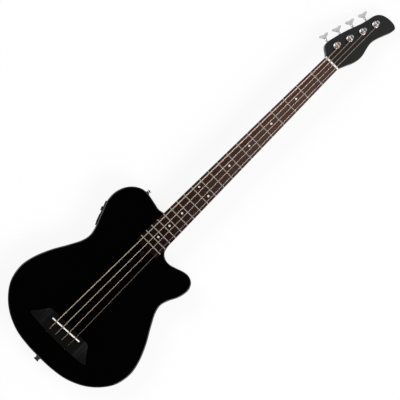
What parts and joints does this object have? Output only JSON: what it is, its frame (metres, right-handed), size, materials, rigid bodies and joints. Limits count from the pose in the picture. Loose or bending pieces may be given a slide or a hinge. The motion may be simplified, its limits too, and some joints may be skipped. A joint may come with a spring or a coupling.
{
  "type": "acoustic bass guitar",
  "caption": "Long-scale acoustic bass guitar with a chambered single-cutaway body, pinless bridge, fretted neck, open-gear tuners and a side preamp.",
  "frame": {"origin": "on the flat back, on the neck's centre line, straight under the line where the string scale starts at the saddle", "axes": "+X along the neck towards the head, +Y towards the bass side, +Z out of the top; the bass guitar lies on its back"},
  "size_m": [1.1414, 0.354, 0.0729],
  "materials": {
    "body_lacquer": "black gloss lacquer over wood",
    "neck_satin": "black satin lacquer over maple",
    "spruce": "bare spruce",
    "ebony": "oiled dark hardwood",
    "rosewood": "oiled rosewood",
    "bone": "polished bone",
    "fret_wire": "polished nickel silver",
    "bronze": "bronze wound string",
    "chrome": "polished chrome plate",
    "steel": "plain steel",
    "brass": "braided piezo strip",
    "preamp_plastic": "moulded black plastic",
    "battery_case": "plain steel sleeve"
  },
  "bodies": {
    "root": {"body_back": "body_lacquer", "soundboard": "body_lacquer", "brace_bass": "spruce", "brace_treble": "spruce", "bridge": "ebony", "saddle": "bone", "piezo_strip": "brass", "neck": "neck_satin", "truss_rod": "steel", "fingerboard": "rosewood", "nut": "bone", "fret_01": "fret_wire", "fret_02": "fret_wire", "fret_03": "fret_wire", "fret_04": "fret_wire", "fret_05": "fret_wire", "fret_06": "fret_wire", "fret_07": "fret_wire", "fret_08": "fret_wire", "fret_09": "fret_wire", "fret_10": "fret_wire", "fret_11": "fret_wire", "fret_12": "fret_wire", "fret_13": "fret_wire", "fret_14": "fret_wire", "fret_15": "fret_wire", "fret_16": "fret_wire", "fret_17": "fret_wire", "fret_18": "fret_wire", "fret_19": "fret_wire", "fret_20": "fret_wire", "string_e": "bronze", "string_a": "bronze", "string_d": "bronze", "string_g": "bronze", "tuner_bushing_e": "chrome", "tuner_bushing_a": "chrome", "tuner_bushing_d": "chrome", "tuner_bushing_g": "chrome", "tuner_plate_e": "chrome", "tuner_plate_a": "chrome", "tuner_plate_d": "chrome", "tuner_plate_g": "chrome", "strap_button": "chrome", "endpin_jack": "chrome", "preamp_housing": "preamp_plastic"},
    "truss_adjuster": {"truss_nut": "steel"},
    "post_e": {"tuner_post_e": "chrome"},
    "post_a": {"tuner_post_a": "chrome"},
    "post_d": {"tuner_post_d": "chrome"},
    "post_g": {"tuner_post_g": "chrome"},
    "key_e": {"tuner_key_e": "chrome"},
    "key_a": {"tuner_key_a": "chrome"},
    "key_d": {"tuner_key_d": "chrome"},
    "key_g": {"tuner_key_g": "chrome"},
    "volume": {"knob_volume": "preamp_plastic"},
    "bass_tone": {"knob_bass": "preamp_plastic"},
    "treble_tone": {"knob_treble": "preamp_plastic"},
    "drawer": {"battery_drawer": "preamp_plastic", "battery": "battery_case"}
  },
  "joints": [
    {"name": "key_e_turn", "type": "hinge", "parent": "root", "child": "key_e", "pos_m": [0.89311, 0.02213, 0.03388], "axis": [0.2655, 0.963, -0.0468], "continuous": true},
    {"name": "key_a_turn", "type": "hinge", "parent": "root", "child": "key_a", "pos_m": [0.92758, 0.01228, 0.0278], "axis": [0.2655, 0.963, -0.0468], "continuous": true},
    {"name": "key_d_turn", "type": "hinge", "parent": "root", "child": "key_d", "pos_m": [0.96204, 0.00245, 0.02172], "axis": [0.2655, 0.963, -0.0468], "continuous": true},
    {"name": "key_g_turn", "type": "hinge", "parent": "root", "child": "key_g", "pos_m": [0.9965, -0.00735, 0.01565], "axis": [0.2655, 0.963, -0.0468], "continuous": true},
    {"name": "post_e_turn", "type": "hinge", "parent": "root", "child": "post_e", "pos_m": [0.90503, 0.0197, 0.05158], "axis": [0.1736, 0, 0.9848], "continuous": true},
    {"name": "post_a_turn", "type": "hinge", "parent": "root", "child": "post_a", "pos_m": [0.9395, 0.00985, 0.0455], "axis": [0.1736, 0, 0.9848], "continuous": true},
    {"name": "post_d_turn", "type": "hinge", "parent": "root", "child": "post_d", "pos_m": [0.97396, 0.00003, 0.03942], "axis": [0.1736, 0, 0.9848], "continuous": true},
    {"name": "post_g_turn", "type": "hinge", "parent": "root", "child": "post_g", "pos_m": [1.00842, -0.00978, 0.03335], "axis": [0.1736, 0, 0.9848], "continuous": true},
    {"name": "truss_adjust", "type": "hinge", "parent": "root", "child": "truss_adjuster", "pos_m": [0.245, 0, 0.0532], "axis": [-1, 0, 0], "range_deg": [-360, 360]},
    {"name": "volume_turn", "type": "hinge", "parent": "root", "child": "volume", "pos_m": [0.25399, 0.13774, 0.041], "axis": [-0.3534, 0.9355, 0], "range_deg": [-140, 140]},
    {"name": "bass_turn", "type": "hinge", "parent": "root", "child": "bass_tone", "pos_m": [0.25399, 0.13774, 0.029], "axis": [-0.3534, 0.9355, 0], "range_deg": [-140, 140]},
    {"name": "treble_turn", "type": "hinge", "parent": "root", "child": "treble_tone", "pos_m": [0.25399, 0.13774, 0.017], "axis": [-0.3534, 0.9355, 0], "range_deg": [-140, 140]},
    {"name": "drawer_slide", "type": "slide", "parent": "root", "child": "drawer", "axis": [-0.3534, 0.9355, 0], "range_m": [0, 0.045]}
  ],
  "couplings": [
    {"joint": "post_e_turn", "follows": "key_e_turn", "ratio": 0.05},
    {"joint": "post_a_turn", "follows": "key_a_turn", "ratio": 0.05},
    {"joint": "post_d_turn", "follows": "key_d_turn", "ratio": 0.05},
    {"joint": "post_g_turn", "follows": "key_g_turn", "ratio": 0.05}
  ]
}
